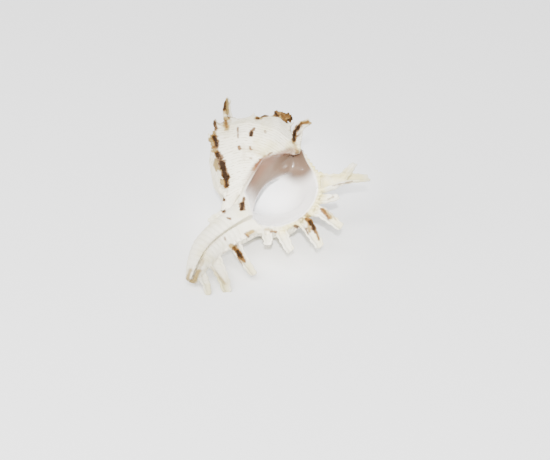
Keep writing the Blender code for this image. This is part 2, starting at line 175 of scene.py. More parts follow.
def lumps():
    """Growth angle and height of each lump between the varices."""
    angles = varix_angles()
    older = []
    for newer, old in zip(angles[3:-1], angles[4:]):
        older += [(newer + (old - newer) * share, height) for share, height in OLD_LUMP_SHARES]
    return LUMPS + older


def varix_span(run):
    """Share of a varix's height at this run along the outline."""
    lowered = 1 - VARIX_LOWERED * eased(*VARIX_LOWERS, run)
    return eased(*VARIX_STARTS, run) * lowered * (1 - eased(*VARIX_ENDS, run))


def relief(t, run):
    """How far the surface stands out from the plain outline, at the lip's size."""
    t, run = np.broadcast_arrays(np.asarray(t, float), np.asarray(run, float))
    rise = sum(varix_rise(t, crest) for crest in varix_angles()[1:])
    out = VARIX_HEIGHT * varix_span(run) * rise
    angle, where, width, height = LEFT_SWELL
    out = out + height * varix_rise(t, angle) * hump(run, where, width)
    angle, degrees, where, width, depth = BACK_DIP
    out = out - depth * hump(t, angle, degrees) * hump(run, where, width)
    down = sum(share * hump(run, where, width) for where, width, share in LUMP_ROWS)
    for angle, height in lumps():
        out = out + height * hump(t, angle, LUMP_DEGREES) * down
    ribs = sum(hump(run, where, RIB_WIDTH) for where in RIBS)
    between = FOLD_BETWEEN * FOLD_HEIGHT * rise * varix_span(run)
    return out + (RIB_HEIGHT + FOLD_HEIGHT * rise) * ribs - between


def flared(t, reach, count, power):
    """Share of the way to the lip's outline, for each point of an outline."""
    degrees = np.interp(np.linspace(0, 1, count), np.linspace(0, 1, len(reach)), reach)
    return (np.clip((t + degrees) / degrees, 0, 1) ** power)[:, None]


def whorl_lines(t, count):
    """Outline points, run and outward directions at growth angle t, at the lip's size."""
    plain = curve_through(WHORL_OUTLINE, count)
    lip = curve_through(LIP_OUTLINE, count)
    line = plain + (lip - plain) * flared(t, LIP_REACH, count, FLARE_POWER)
    return line, run_along(plain), outward(line)


def lay_tube(name, rings):
    """A grid primitive laid through closed rings of points, sewn up at its side and capped at both ends."""
    rings = np.asarray(rings, float)
    rings = np.concatenate([rings, rings[:, :1]], axis=1)
    rows, columns = rings.shape[:2]
    bpy.ops.object.select_all(action="DESELECT")
    bpy.ops.mesh.primitive_grid_add(x_subdivisions=columns - 1, y_subdivisions=rows - 1, size=2)
    tube = bpy.context.object
    tube.name = name
    tube.data.vertices.foreach_set("co", rings.ravel())
    bpy.ops.object.mode_set(mode="EDIT")
    bpy.ops.mesh.select_all(action="SELECT")
    bpy.ops.mesh.remove_doubles(threshold=SEAM_GAP)
    bpy.ops.mesh.fill_holes(sides=0)
    bpy.ops.mesh.normals_make_consistent(inside=False)
    bpy.ops.object.mode_set(mode="OBJECT")
    return tube


whorl_angles = np.arange(-360 * TURNS, RING_STEP / 2, RING_STEP)
whorl_rings = []
for t in whorl_angles:
    line, run, normal = whorl_lines(t, OUTLINE_POINTS)
    line = (line + relief(t, run)[:, None] * normal) * grown(t)
    whorl_rings.append(at(t, np.maximum(line[:, 0], AXIS_RADIUS), line[:, 1]))
whorl_rings = np.array(whorl_rings)
whorl_run = run
shell = lay_tube("murex_shell", whorl_rings)


# The fronds of the lip
# Hollow spines that the mantle's edge built as open gutters, widest at the root and blunt and ragged at the
# tip. Each is laid as a tube with a U-shaped section that faces the way the shell grew.

# For each frond: its places as (right, towards the viewer of the mouth, height), its widths along them, and how
# brown its gutter is
LIP_FRONDS = [
    ([(24.9, 11.6, -34.4), (29.3, 13.7, -32.6), (33.2, 15.0, -29.1), (37.7, 15.8, -26.0),
      (43.2, 15.8, -22.3)],
     [11.0, 8.6, 6.0, 4.8, 3.6], 0.0),
    ([(33.4, 15.0, -28.4), (34.2, 15.2, -23.2), (35.2, 15.0, -18.3)], [4.4, 3.8, 2.6], 0.0),
    ([(26.0, 12.4, -43.4), (31.5, 14.0, -40.9), (35.6, 15.0, -37.7)], [6.5, 4.6, 2.8], 0.0),
    ([(26.0, 12.3, -49.2), (31.5, 14.5, -49.2), (36.9, 16.0, -51.4), (42.2, 16.5, -53.0)],
     [7.5, 5.2, 4.4, 3.8], 0.25),
    ([(23.6, 11.0, -55.0), (28.3, 13.2, -56.7), (33.7, 15.0, -62.3), (37.7, 15.6, -65.8)],
     [8.0, 5.8, 4.6, 3.8], 0.42),
    ([(18.6, 9.0, -59.0), (21.4, 10.4, -64.0), (25.0, 12.0, -69.1), (28.2, 12.6, -72.5)],
     [7.0, 5.0, 4.2, 3.6], 0.0),
    ([(14.6, 7.2, -62.0), (17.0, 8.4, -67.1), (19.0, 9.0, -71.5)], [5.6, 4.4, 3.4], 0.0),
]
FROND_RINGS = 26
FROND_AROUND = 30
FROND_WALL = 0.95            # thickness of the gutter's wall
FROND_DEPTH = 0.74           # how deep a frond is against its width
FROND_OPENING = 66.0         # degrees on each side that are left open
FRILL_LENGTH = 3.4           # from one frill of the gutter's edge to the next
FRILL_SHARE = 0.10           # how far a frill stands out, against the half width
FRILL_LAG = 1.3              # how far the frills of one edge run behind the other's, in radians
RAGGED = (-0.55, 0.25)       # how far the tip's points lie behind or before its end, against the half width
THICKEST = 0.7               # the wall's limit at a narrow place, against the half width
THINNEST = 0.05
GUTTER_FLOOR = 0.1           # how much thicker the gutter's floor is than its sides


def front_point(right, towards, height):
    """The point at these distances to the right and towards the viewer of the mouth."""
    return (right, -towards, height)


def growth_way(t):
    """The direction in which the shell grows at angle t."""
    a = math.radians(LIP_AZIMUTH - t)
    return np.array([math.sin(a), -math.cos(a), 0.0])


def path_frames(path, face):
    """Directions across a path: the one that faces the given way, the one beside it, and the one along."""
    along = np.gradient(path, axis=0)
    along /= np.linalg.norm(along, axis=1)[:, None]
    facing = face - (along @ np.asarray(face, float))[:, None] * along
    facing /= np.linalg.norm(facing, axis=1)[:, None]
    return facing, np.cross(along, facing), along


def frond(name, points, widths, face, opening=FROND_OPENING, wall=FROND_WALL, depth=FROND_DEPTH, seed=0):
    """A gutter-shaped spine with frilled edges and a ragged tip."""
    path = curve_through(points, FROND_RINGS)
    share = np.linspace(0, 1, FROND_RINGS)
    half = np.interp(share, np.linspace(0, 1, len(widths)), widths) / 2
    run = run_along(path)
    facing, beside, along = path_frames(path, face)
    turn = np.radians(np.linspace(opening - 180, 180 - opening, FROND_AROUND // 2))
    draw = np.random.default_rng(seed)
    ragged = draw.uniform(*RAGGED, FROND_AROUND // 2)
    ragged = np.r_[ragged, ragged[::-1]]
    rings = []
    for i in range(FROND_RINGS):
        wave = np.sin(2 * np.pi * run[i] / FRILL_LENGTH + seed + FRILL_LAG * np.sign(turn))
        frill = 1 + FRILL_SHARE * wave * np.sin(turn) ** 2
        outer = half[i] * frill
        inner = np.maximum(outer - min(wall, THICKEST * half[i]), THINNEST)
        across = np.r_[np.sin(turn) * outer, (np.sin(turn) * inner)[::-1]]
        inner_deep = np.maximum(inner * depth - GUTTER_FLOOR, THINNEST)
        deep = np.r_[-np.cos(turn) * outer * depth, (-np.cos(turn) * inner_deep)[::-1]]
        ring = path[i] + across[:, None] * beside[i] + deep[:, None] * facing[i]
        if i == FROND_RINGS - 1:
            ring = ring + (ragged * half[i])[:, None] * along[i]
        rings.append(ring)
    return lay_tube(name, rings)


def bar(name, points, half_widths, half_depths, face, count=60, around=48):
    """A solid bar with an oval section along a smooth path."""
    path = curve_through(points, count)
    share = np.linspace(0, 1, count)
    wide = np.interp(share, np.linspace(0, 1, len(half_widths)), half_widths)
    deep = np.interp(share, np.linspace(0, 1, len(half_depths)), half_depths)
    facing, beside, along = path_frames(path, face)
    turn = np.linspace(0, 2 * np.pi, around, endpoint=False)
    rings = []
    for i in range(count):
        across = (np.sin(turn) * wide[i])[:, None] * beside[i]
        rings.append(path[i] + across + (np.cos(turn) * deep[i])[:, None] * facing[i])
    return lay_tube(name, rings)


pieces = []
frond_marks = []
for k, (points, widths, brown) in enumerate(LIP_FRONDS):
    points = [front_point(*p) for p in points]
    pieces.append(frond(f"lip_frond_{k}", points, widths, growth_way(0), seed=k))
    frond_marks.append((points, widths, growth_way(0), brown))


# The fronds of the older varices
# The same gutters where the lip once stood. Two of the shoulder's are still long, the others are worn to
# short scales, one on each rib, that open the way the shell grew.
SHOULDER_FRONDS = [
    ([(-15.4, 4.6, -21.0), (-18.9, 5.3, -19.6), (-21.4, 5.9, -15.4), (-22.8, 6.1, -10.3)],
     [6.8, 5.0, 3.8, 2.6], 0.55),
    ([(9.4, 9.4, -19.4), (8.9, 10.4, -15.0), (8.7, 10.8, -10.6), (11.4, 11.0, -5.8)],
     [5.4, 4.6, 3.8, 2.9], 0.5),
]
SHOULDER_FACES = [(0.55, -1.0, 0.3), (0.1, -1.0, 0.35)]
SHOULDER_OPENING = 58.0
VARIX_SPINES = {             # lengths of a varix's spines, from the shoulder down
    1: [5.0, 7.1, 4.6, 4.6, 4.4, 4.6, 4.0, 3.0],
    2: [0.0, 3.4, 3.0, 2.8, 2.6, 3.0, 4.2, 4.2],
    3: [],
}
OLD_SPINES = [6.0]
LAST_SPINY_VARIX = 8
SHOULDER_LEAN = 42.0         # degrees that a shoulder frond leans to the apex
SPINE_ROOT = 1.6             # how deep a spine's foot is sunk
SPINE_SETBACK = 1.0          # degrees behind the varix's crest
SPINE_WIDTHS = (5.6, 4.4, 2.9)
SPINE_LAGS = (0.0, 1.0, 5.0)  # degrees that its foot, middle and tip lean back
SPINE_WALL = 0.8


def varix_fronds(index):
    """The short fronds on one older varix, one on each rib."""
    t = varix_angles()[index] - SPINE_SETBACK
    size = float(grown(t))
    line, run, normal = whorl_lines(t, OUTLINE_POINTS)
    made = []
    for k, length in enumerate(VARIX_SPINES.get(index, OLD_SPINES)):
        if not length:
            continue
        foot = np.array([np.interp(RIBS[k], run, line[:, i]) for i in (0, 1)])
        out = np.array([np.interp(RIBS[k], run, normal[:, i]) for i in (0, 1)])
        foot = foot + (float(relief(t, RIBS[k])) - SPINE_ROOT) * out
        lean = math.radians(0.0 if k else SHOULDER_LEAN)
        way = np.array([out[0] * math.cos(lean) - out[1] * math.sin(lean),
                        out[1] * math.cos(lean) + out[0] * math.sin(lean)])
        tip = foot + way * (length + SPINE_ROOT)
        stations = (foot, (foot + tip) / 2, tip)
        points = [at(t - lag, *(station * size)) for lag, station in zip(SPINE_LAGS, stations)]
        widths = [width * size for width in SPINE_WIDTHS]
        name = f"varix_{index}_frond_{k}"
        made.append(frond(name, points, widths, growth_way(t), wall=SPINE_WALL, seed=10 * index + k))
    return made


for k, (points, widths, brown) in enumerate(SHOULDER_FRONDS):
    points = [front_point(*p) for p in points]
    face = np.array(SHOULDER_FACES[k]) / np.linalg.norm(SHOULDER_FACES[k])
    pieces.append(frond(f"shoulder_frond_{k}", points, widths, face, SHOULDER_OPENING, seed=40 + k))
    frond_marks.append((points, widths, face, brown))
for index in range(1, LAST_SPINY_VARIX + 1):
    pieces += varix_fronds(index)


# The worn apex
# The first coils are worn down to a blunt brown stump, crusted with what grew there.
STUMP_PATH = [(-3.0, 1.2, -3.5), (-1.2, 2.1, -3.4), (0.9, 3.1, -3.6), (2.6, 3.9, -3.6), (4.0, 4.6, -4.2)]
STUMP_HALF_WIDTHS = [1.7, 2.2, 2.1, 2.2, 1.3]
STUMP_HALF_DEPTHS = [1.3, 1.6, 1.6, 1.4, 1.0]
STUMP_CRUST = 0.55           # how rough its crust is
STUMP_FACE = (0.2, -0.5, 0.85)

stump_points = [front_point(*p) for p in STUMP_PATH]
pieces.append(bar("stump", stump_points, STUMP_HALF_WIDTHS, STUMP_HALF_DEPTHS, STUMP_FACE))


# The canal and its fronds
# The long spout at the foot through which the animal drew water, bent to one side and open along a narrow
# slot. Fronds stand along its right edge, and the spur on its left is what is left of an older canal.
CANAL_PATH = [(7.0, 2.0, -60.0), (4.2, 1.2, -66.0), (0.6, 0.8, -74.0), (-1.6, 0.4, -82.0),
              (-1.8, -0.4, -90.0), (-1.0, -1.6, -97.6)]
CANAL_HALF_WIDTHS = [8.0, 7.6, 6.6, 5.8, 4.4, 2.4]
CANAL_HALF_DEPTHS = [6.0, 5.6, 4.8, 4.2, 3.4, 1.9]
CANAL_FRONDS = [
    ([(5.0, 1.4, -70.5), (8.2, 1.8, -74.5), (14.0, 3.0, -80.0), (19.6, 3.2, -84.0)],
     [7.5, 5.0, 4.2, 3.4], 0.42),
    ([(0.0, 0.4, -81.0), (4.4, 0.6, -85.8), (9.6, 1.4, -91.4), (13.6, 0.9, -96.3)],
     [7.5, 6.0, 4.8, 3.8], 0.12),
    ([(-1.0, -1.0, -90.5), (2.2, -0.6, -93.8), (5.2, 0.0, -97.6), (7.4, 0.0, -101.0)],
     [5.0, 3.8, 3.2, 2.6], 0.1),
    ([(0.0, 3.0, -62.0), (-3.6, 3.0, -66.4), (-6.0, 2.0, -69.6)], [6.0, 4.2, 2.8], 0.0),
]
CANAL_FACE = (-0.3, -1.0, 0.2)
TO_VIEWER = (0.0, -1.0, 0.0)


canal_points = [front_point(*p) for p in CANAL_PATH]
pieces.append(bar("canal", canal_points, CANAL_HALF_WIDTHS, CANAL_HALF_DEPTHS, TO_VIEWER))
for k, (points, widths, brown) in enumerate(CANAL_FRONDS):
    points = [front_point(*p) for p in points]
    face = np.array(CANAL_FACE) / np.linalg.norm(CANAL_FACE)
    pieces.append(frond(f"canal_frond_{k}", points, widths, face, seed=60 + k))
    frond_marks.append((points, widths, face, brown))


# The glaze of the pillar and the inner lip
# Smooth lime that the animal laid over the pillar and the whorl before as it grew, with a raised edge.
PILLAR_GLAZE = [(6.4, 6.0, -33.0), (3.9, 3.8, -39.0), (3.2, 2.9, -47.0), (4.4, 3.0, -54.0), (7.4, 3.0, -61.0)]
GLAZE_HALF_WIDTHS = [3.0, 3.6, 3.7, 4.4, 5.5]
GLAZE_HALF_DEPTHS = [2.2, 2.9, 3.1, 3.5, 4.4]
GLAZE_FACE = (0.7, -0.7, 0.0)
INNER_LIP = [(11.9, 6.8, -19.6), (9.8, 10.9, -26.2), (7.7, 11.0, -29.8), (5.0, 9.8, -32.6), (2.3, 8.5, -35.5),
             (1.6, 6.9, -39.2), (0.8, 5.8, -46.6), (1.4, 5.4, -51.5), (3.1, 5.6, -56.3), (7.1, 6.4, -63.0)]
INNER_LIP_HALF_WIDTH = 0.8
INNER_LIP_HALF_DEPTH = 1.8
INNER_LIP_FACE = (0.2, -1.0, 0.0)

glaze_points = [front_point(*p) for p in PILLAR_GLAZE]
pieces.append(bar("pillar_glaze", glaze_points, GLAZE_HALF_WIDTHS, GLAZE_HALF_DEPTHS, GLAZE_FACE))
lip_points = [front_point(*p) for p in INNER_LIP]
inner_lip_sizes = [INNER_LIP_HALF_WIDTH] * 2, [INNER_LIP_HALF_DEPTH] * 2
pieces.append(bar("inner_lip", lip_points, *inner_lip_sizes, INNER_LIP_FACE, count=90, around=20))


# The mouth
# The space that the animal lived in. It is cut out of the fused wall, with its wide mouth, the scoop on the
# front of the whorl before, and the narrow slot of the canal.
HOLLOW_OUTLINE = [(14.5, -27.6), (19.0, -29.8), (22.6, -32.8), (24.4, -36.6), (24.4, -40.6), (21.8, -45.0),
                  (17.6, -48.8), (13.6, -52.4), (11.2, -55.2), (9.4, -56.2), (8.2, -54.4), (7.2, -50.4),
                  (7.0, -45.0), (7.8, -39.5), (9.8, -34.8), (12.0, -30.8)]
MOUTH_OUTLINE = [(13.8, -17.6), (19.4, -24.4), (25.0, -30.8), (28.6, -36.6), (30.2, -42.6), (30.2, -48.8),
                 (28.2, -55.2), (23.8, -60.4), (17.8, -62.6), (11.8, -61.8), (8.4, -58.0), (6.8, -52.0),
                 (6.4, -45.5), (7.4, -39.0), (9.6, -32.0), (11.8, -22.6)]
MOUTH_REACH = [26, 26, 26, 26, 34, 56, 84, 110, 110, 100, 60, 40, 26, 26, 26, 26]
FRONT_OUTLINE = [(14.0, -33.5), (20.0, -33.5), (27.0, -36.5), (31.5, -41.0), (33.5, -45.5), (33.5, -50.5),
                 (31.0, -56.0), (26.0, -60.5), (19.0, -62.0), (13.0, -60.0), (9.5, -56.0), (6.8, -51.0),
                 (6.4, -47.0), (6.4, -42.5), (7.2, -38.6), (9.4, -35.6)]
HOLLOW_POINTS = 96
MOUTH_FRONT = 52.0           # degrees past the lip at which the mouth has run out
RUN_OUT = 0.6                # how early it does so: 1 is evenly
HOLLOW_END = -270.0          # how far back the hollow is modelled
HOLLOW_TAPER = 60.0          # degrees over which its end narrows
HOLLOW_TIP = 0.2             # to this share of its width
HOLLOW_STEP = 2.0
MOUTH_POWER = 2.2
SLOT_PATH = [(12.0, 8.5, -59.5), (8.0, 7.6, -62.5), (4.5, 6.6, -68.0), (1.2, 6.0, -75.0), (-1.2, 5.0, -83.0),
             (-1.6, 3.4, -91.0), (-0.8, 0.6, -99.5)]
SLOT_HALF_WIDTHS = [1.7, 0.75, 0.5, 0.42, 0.42, 0.5]
SLOT_HALF_DEPTH = 4.0
VOXEL = 0.32                 # how finely the pieces are fused
TRIANGLES = 190000


def hollow():
    """The space inside the last whorl, its wide mouth and the scoop on the front of the whorl before."""
    inside = curve_through(HOLLOW_OUTLINE, HOLLOW_POINTS, closed=True)
    mouth = curve_through(MOUTH_OUTLINE, HOLLOW_POINTS, closed=True)
    front = curve_through(FRONT_OUTLINE, HOLLOW_POINTS, closed=True)
    middle = inside.mean(axis=0)
    rings = []
    for t in np.arange(HOLLOW_END, MOUTH_FRONT + 1, HOLLOW_STEP):
        if t < 0:
            line = inside + (mouth - inside) * flared(t, MOUTH_REACH, HOLLOW_POINTS, MOUTH_POWER)
        else:
            line = mouth + (front - mouth) * (t / MOUTH_FRONT) ** RUN_OUT
        if t < HOLLOW_END + HOLLOW_TAPER:
            share = HOLLOW_TIP + (1 - HOLLOW_TIP) * float(eased(HOLLOW_END, HOLLOW_END + HOLLOW_TAPER, t))
            line = middle + (line - middle) * share
        line = line * grown(min(t, 0))
        rings.append(at(t, line[:, 0], line[:, 1]))
    return lay_tube("hollow", rings)


def finish_modifier(piece, name):
    """Applies one modifier, as the piece's own mesh."""
    bpy.ops.object.select_all(action="DESELECT")
    piece.select_set(True)
    bpy.context.view_layer.objects.active = piece
    bpy.ops.object.modifier_apply(modifier=name)


def fuse(piece):
    """Makes one skin of all that overlaps."""
    skin = piece.modifiers.new("Skin", "REMESH")
    skin.mode = "VOXEL"
    skin.voxel_size = VOXEL
    finish_modifier(piece, skin.name)


def cut_away(piece, cutter):
    """Takes the cutter's space out of the piece."""
    cut = piece.modifiers.new("Cut", "BOOLEAN")
    cut.operation = "DIFFERENCE"
    cut.solver = "EXACT"
    cut.object = cutter
    finish_modifier(piece, cut.name)


bpy.ops.object.select_all(action="DESELECT")
for piece in pieces:
    piece.select_set(True)
shell.select_set(True)
bpy.context.view_layer.objects.active = shell
bpy.ops.object.join()
fuse(shell)

hollow_cutter = hollow()
slot_points = [front_point(*p) for p in SLOT_PATH]
slot_cutter = bar("slot", slot_points, SLOT_HALF_WIDTHS, [SLOT_HALF_DEPTH] * 2, TO_VIEWER, around=20)
cut_away(shell, hollow_cutter)
cut_away(shell, slot_cutter)
fuse(shell)


# The fine relief
# Threads between the ribs, growth lines across them, frills on the varices and the crust of the worn apex,
# all as the mantle's edge left them. Each point of the skin is looked up on the whorl, the hollow, the worn
# apex and the canal.
THREAD_STEP = 1.75
THREAD_HEIGHT = 0.10
THREAD_GAIN = 1.4            # how much more the threads stand out on a varix
THREADS_START = (10, 14)     # mm along the outline over which the threads begin
THREADS_END = (80, 86)
OUTSIDE_FROM = (0.35, 1.1)   # mm from the hollow over which the outside's relief begins
WHORL_NEAR = (0.5, 1.8)      # mm from the whorl over which its relief ends
GROWTH_LINE_HEIGHT = 0.07
GROWTH_LINE_SPACING = (1.6, 14.0)   # degrees along the spiral, mm along the outline
FRILL_HEIGHT = 0.22
FRILL_SPACING = (5.0, 1.6)
CRUST_HEIGHT = 0.35
CRUST_LUMP = 1.1
CRUST_GRAIN = 0.5
CRUST_GRAIN_SHARE = 0.6
WORN_COILS = (-980, -820)    # growth angles between which the coils go from worn to whole
STUMP_NEAR = (2.2, 3.6)
CANAL_LENGTH = 40.0
CANAL_LINE_STEP = 2.1
CANAL_LINE_SLANT = 0.35
CANAL_LINE_HEIGHT = 0.10
SPOUT_START = (0.12, 0.3)    # share of the canal's length over which its lines begin
SPOUT_NEAR = (8.0, 9.0)
SPOUT_CLEAR = (1.8, 3.0)     # mm from the whorl over which they begin
GRAIN_HEIGHT = 0.05
GRAIN_SIZE = 0.8
NOISE_STEP = (17.3, 5.1, 9.7)   # how far apart the noises of two seeds lie
PATH_STEPS = 60              # places at which a path is looked up
SEARCH_LAG = 3               # rings by which a point may lie beside its nearest face


def read_points(piece):
    """The piece's vertices, and the directions that its surface faces there."""
    count = len(piece.data.vertices)
    where = np.empty(count * 3)
    piece.data.vertices.foreach_get("co", where)
    facing = np.empty(count * 3)
    piece.data.vertex_normals.foreach_get("vector", facing)
    return where.reshape(-1, 3), facing.reshape(-1, 3)


def nearest(tree, points):
    """Index of the nearest face, and how far away it is, for each point."""
    found = [tree.find_nearest(Vector(p)) for p in points]
    return np.array([f[2] for f in found]), np.array([f[3] for f in found])


def whorl_tree():
    """The whorl's grid as a search tree, and its number of columns."""
    rows, columns = whorl_rings.shape[:2]
    row = np.arange(rows - 1)[:, None] * columns
    here = np.arange(columns - 1)[None, :]
    corner = row + here
    faces = np.stack([corner, corner + 1, corner + 1 + columns, corner + columns], -1).reshape(-1, 4)
    tree = BVHTree.FromPolygons(whorl_rings.reshape(-1, 3).tolist(), faces.tolist())
    return tree, columns


def on_whorl(points):
    """Growth angle and run of each point on the whorl, and its distance from the whorl's surface."""
    tree, columns = whorl_tree()
    face, away = nearest(tree, points)
    row, column = np.divmod(face, columns - 1)
    azimuth = np.degrees(np.arctan2(points[:, 1], points[:, 0]))
    guess = whorl_angles[row] + RING_STEP / 2
    lag = (LIP_AZIMUTH - guess - azimuth + 180) % 360 - 180
    angle = guess + np.clip(lag, -SEARCH_LAG * RING_STEP, SEARCH_LAG * RING_STEP)
    a = whorl_rings[row, column]
    b = whorl_rings[row, column + 1]
    share = np.clip(((points - a) * (b - a)).sum(1) / np.maximum(((b - a) ** 2).sum(1), 1e-9), 0, 1)
    run = whorl_run[column] + share * (whorl_run[column + 1] - whorl_run[column])
    return angle, run, away


def near_path(points, path):
    """Distance from a path, share of its length and nearest place on it, for each point."""
    line = curve_through(path, PATH_STEPS)
    gap = np.linalg.norm(points[:, None, :] - line[None, :, :], axis=2)
    index = gap.argmin(axis=1)
    return gap[np.arange(len(points)), index], index / (PATH_STEPS - 1.0), line[index]


def roughly(points, scale, seed):
    """Smooth noise from -1 to 1 at each point."""
    shift = Vector([seed * step for step in NOISE_STEP])
    return np.array([noise.noise(Vector(p) / scale + shift) for p in points])


points, facing = read_points(shell)
angle, run, away = on_whorl(points)
hollow_tree = BVHTree.FromObject(hollow_cutter, bpy.context.evaluated_depsgraph_get())
inside_away = nearest(hollow_tree, points)[1]
outside = eased(*OUTSIDE_FROM, inside_away)
whorled = (1 - eased(*WHORL_NEAR, away)) * outside
whorled = whorled * eased(*THREADS_START, run) * (1 - eased(*THREADS_END, run))
rise = sum(varix_rise(angle, crest) for crest in varix_angles())
threads = np.cos(2 * np.pi * run / THREAD_STEP)
lines = roughly(np.stack([angle / GROWTH_LINE_SPACING[0], run / GROWTH_LINE_SPACING[1], 0 * run], 1), 1.0, 1)
frills = roughly(np.stack([angle / FRILL_SPACING[0], run / FRILL_SPACING[1], 0 * run], 1), 1.0, 2)
crust = roughly(points, CRUST_LUMP, 3) + CRUST_GRAIN_SHARE * roughly(points, CRUST_GRAIN, 4)
worn = 1 - eased(*WORN_COILS, angle)
height = THREAD_HEIGHT * threads * (1 + THREAD_GAIN * rise) * whorled * (1 - worn)
height = height + GROWTH_LINE_HEIGHT * lines * whorled + FRILL_HEIGHT * frills * rise * whorled * (1 - worn)
on_stump = 1 - eased(*STUMP_NEAR, near_path(points, stump_points)[0])
height = height * (1 - on_stump) + CRUST_HEIGHT * crust * worn + STUMP_CRUST * crust * on_stump
away_canal, along_canal = near_path(points, canal_points)[:2]
spout = eased(*SPOUT_START, along_canal) * (1 - eased(*SPOUT_NEAR, away_canal)) * outside
spout = spout * eased(*SPOUT_CLEAR, away)
wave = np.sin(2 * np.pi * (along_canal * CANAL_LENGTH + CANAL_LINE_SLANT * away_canal) / CANAL_LINE_STEP)
height = height + CANAL_LINE_HEIGHT * wave * spout
height = height + GRAIN_HEIGHT * roughly(points, GRAIN_SIZE, 5) * outside
points = points + height[:, None] * facing
shell.data.vertices.foreach_set("co", points.ravel())
shell.data.update()

thin = shell.modifiers.new("Thin", "DECIMATE")
thin.ratio = TRIANGLES / (2.0 * len(shell.data.polygons))
finish_modifier(shell, thin.name)


# The stains, the glaze and the painted light and shade
# Where the lime is brown, tan, pink or glazed is marked at each point of the skin, as are the painted light
# deep in the mouth and the painted shade under the inner lip and in two small gutters; the finish reads the
# marks.
GLAZE_EDGE = (0.2, 0.8)      # mm from the hollow over which the glaze ends
WHORL_EDGE = (0.6, 2.0)
BLOTCH_FRONT = 7.0           # degrees past a varix's crest that its brown blotches reach
BLOTCH_CREST = (0.3, 2.0)    # how far they are at full strength: a share in front, degrees behind
BLOTCH_BACK = 12.0
BLOTCH_START = (17, 24)      # mm along the outline
BLOTCH_END = (62, 72)
BLOTCH_ON_RIB = 0.35         # how strong they are on a rib, against between the ribs
BLOTCH_RIB = 2.2
LIP_CLEAR = (-60, -10)       # growth angles over which the lip's own side gets clear of them
SEEN_SHARE = 0.3             # share of these that stays on the side in view, whose own streaks are listed
SEEN_EDGE = (-0.35, 0.25)
WORN_BROWN = (-1220, -1120)  # growth angles between which the first coils are brown
WORN_STRENGTH = 0.45
GUTTER_CORE = 0.30           # how far across a frond its gutter's brown is full, against its half width
GUTTER_EDGE = 0.95
GUTTER_FACING = -0.2
GUTTER_START = (0.02, 0.12)  # share of a frond's length over which it begins and fades
GUTTER_FADE = (0.30, 0.78)
PINK_REACH = 3.4             # mm from the inner lip's edge
PINK_CORE = 0.4
PINK_END = (0.50, 0.85)      # share of the inner lip's length over which the pink ends
PINK_ON_GLAZE = 0.6
PARIETAL_REACH = (9.5, 15.5)  # mm from the inner lip's edge over which the painted shade on the wall under it ends
PARIETAL_END = (0.62, 0.95)
STUMP_EDGE = (2.4, 3.4)
STUMP_BROWN = 0.48
STUMP_PATCHES = 1.3
STUMP_TAN = 0.9
GROWTH_UNIT = 10.0           # degrees in one unit of the growth mark
SLOT_TAN = 0.2
SLOT_EDGE = (1.0, 3.0)
SLOT_TAN_FROM = (66, 80)     # mm down the axis over which the slot's rims get tan
LIP_CREAM_DEGREES = 7
LIP_CREAM_NEAR = (0.5, 3)
LIP_CREAM_START = (14, 22)
LIP_CREAM_END = (56, 64)
MOUTH_AHEAD = 60             # degrees past the lip that still count as the mouth's front
PAINTED_LIGHT_DEGREES = (-110, -15)     # degrees back from the lip over which the glaze is painted whiter: painted light deep in the mouth
